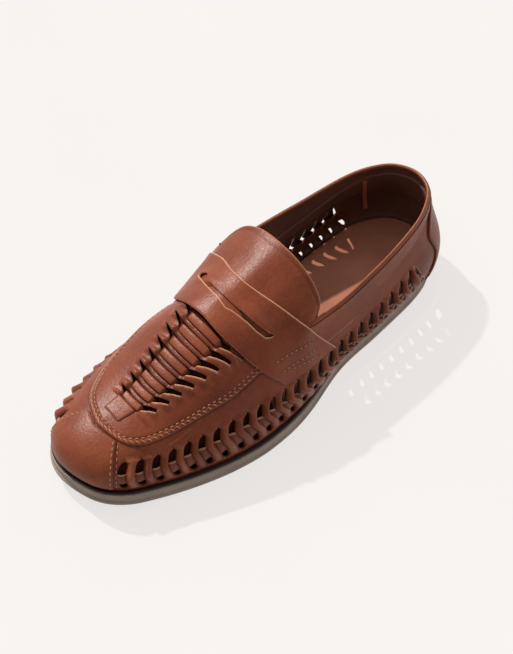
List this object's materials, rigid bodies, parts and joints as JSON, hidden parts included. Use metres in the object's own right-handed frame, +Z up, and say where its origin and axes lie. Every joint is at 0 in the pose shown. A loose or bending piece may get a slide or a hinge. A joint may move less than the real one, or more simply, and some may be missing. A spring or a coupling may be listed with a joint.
{
  "type": "woven loafer",
  "caption": "Low slip-on leather loafer with woven side bands, a woven apron, a slotted saddle strap, a rolled collar and a low rubber sole, for a left foot.",
  "frame": {"origin": "middle of the footprint, on the floor that the sole stands on", "axes": "+X from heel to toe, +Y to the outer side of the left foot, +Z up"},
  "size_m": [0.296, 0.107, 0.092],
  "materials": {
    "brown_leather": "semi-gloss dyed leather",
    "insole_leather": "matt lining leather",
    "welt_rubber": "matt dark brown",
    "sole_rubber": "matt taupe"
  },
  "bodies": {
    "root": {"outsole": "sole_rubber", "welt": "welt_rubber", "insole": "insole_leather", "upper": "brown_leather", "toe_cap": "brown_leather", "heel_counter": "brown_leather", "saddle_strap": "brown_leather", "tongue": "brown_leather", "collar_binding": "brown_leather"}
  },
  "joints": []
}
